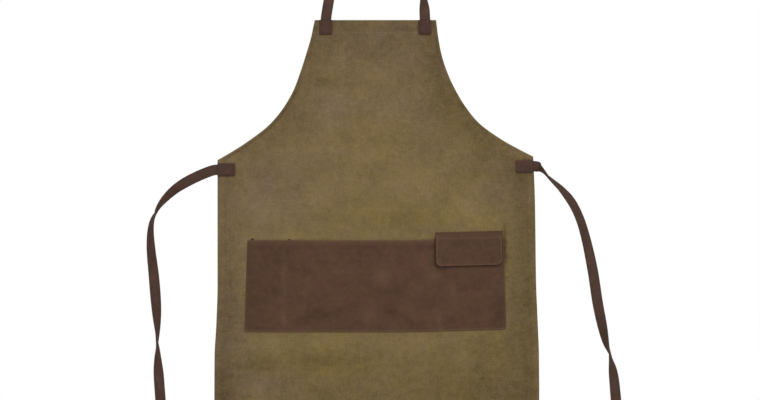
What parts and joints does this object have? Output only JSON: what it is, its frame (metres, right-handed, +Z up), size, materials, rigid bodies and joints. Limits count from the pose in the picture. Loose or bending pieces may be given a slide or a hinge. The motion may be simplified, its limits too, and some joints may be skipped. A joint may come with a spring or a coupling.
{
  "type": "gardening apron",
  "caption": "Waxed canvas work apron with a leather tool pocket and flap, a leather neck loop and long leather waist ties, hanging from its neck loop.",
  "frame": {"origin": "underside of the neck strap's highest point, where the apron hangs on a neck or a peg", "axes": "+Z up along the hanging apron, +X to the right of someone who looks at its front, front face towards -Y"},
  "size_m": [0.9222, 0.0302, 1.2959],
  "materials": {
    "canvas": "olive waxed cotton canvas, matte, mottled",
    "canvas_hem": "the same canvas, turned back and stitched",
    "pocket_leather": "dark brown waxed pull-up leather, satin",
    "strap_leather": "dark brown leather strap, edge stitched",
    "thread": "brown sewing thread"
  },
  "bodies": {
    "root": {"apron_body": "canvas", "bib_top_hem": "canvas_hem", "bottom_hem": "canvas_hem", "armhole_hem_left": "canvas_hem", "armhole_hem_right": "canvas_hem", "side_hem_left": "canvas_hem", "side_hem_right": "canvas_hem", "neck_strap": "strap_leather", "neck_patch_left": "strap_leather", "neck_patch_right": "strap_leather", "waist_tie_left": "strap_leather", "waist_tie_right": "strap_leather", "waist_patch_left": "strap_leather", "waist_patch_right": "strap_leather", "pocket_panel": "pocket_leather", "pocket_flap": "pocket_leather"}
  },
  "joints": []
}
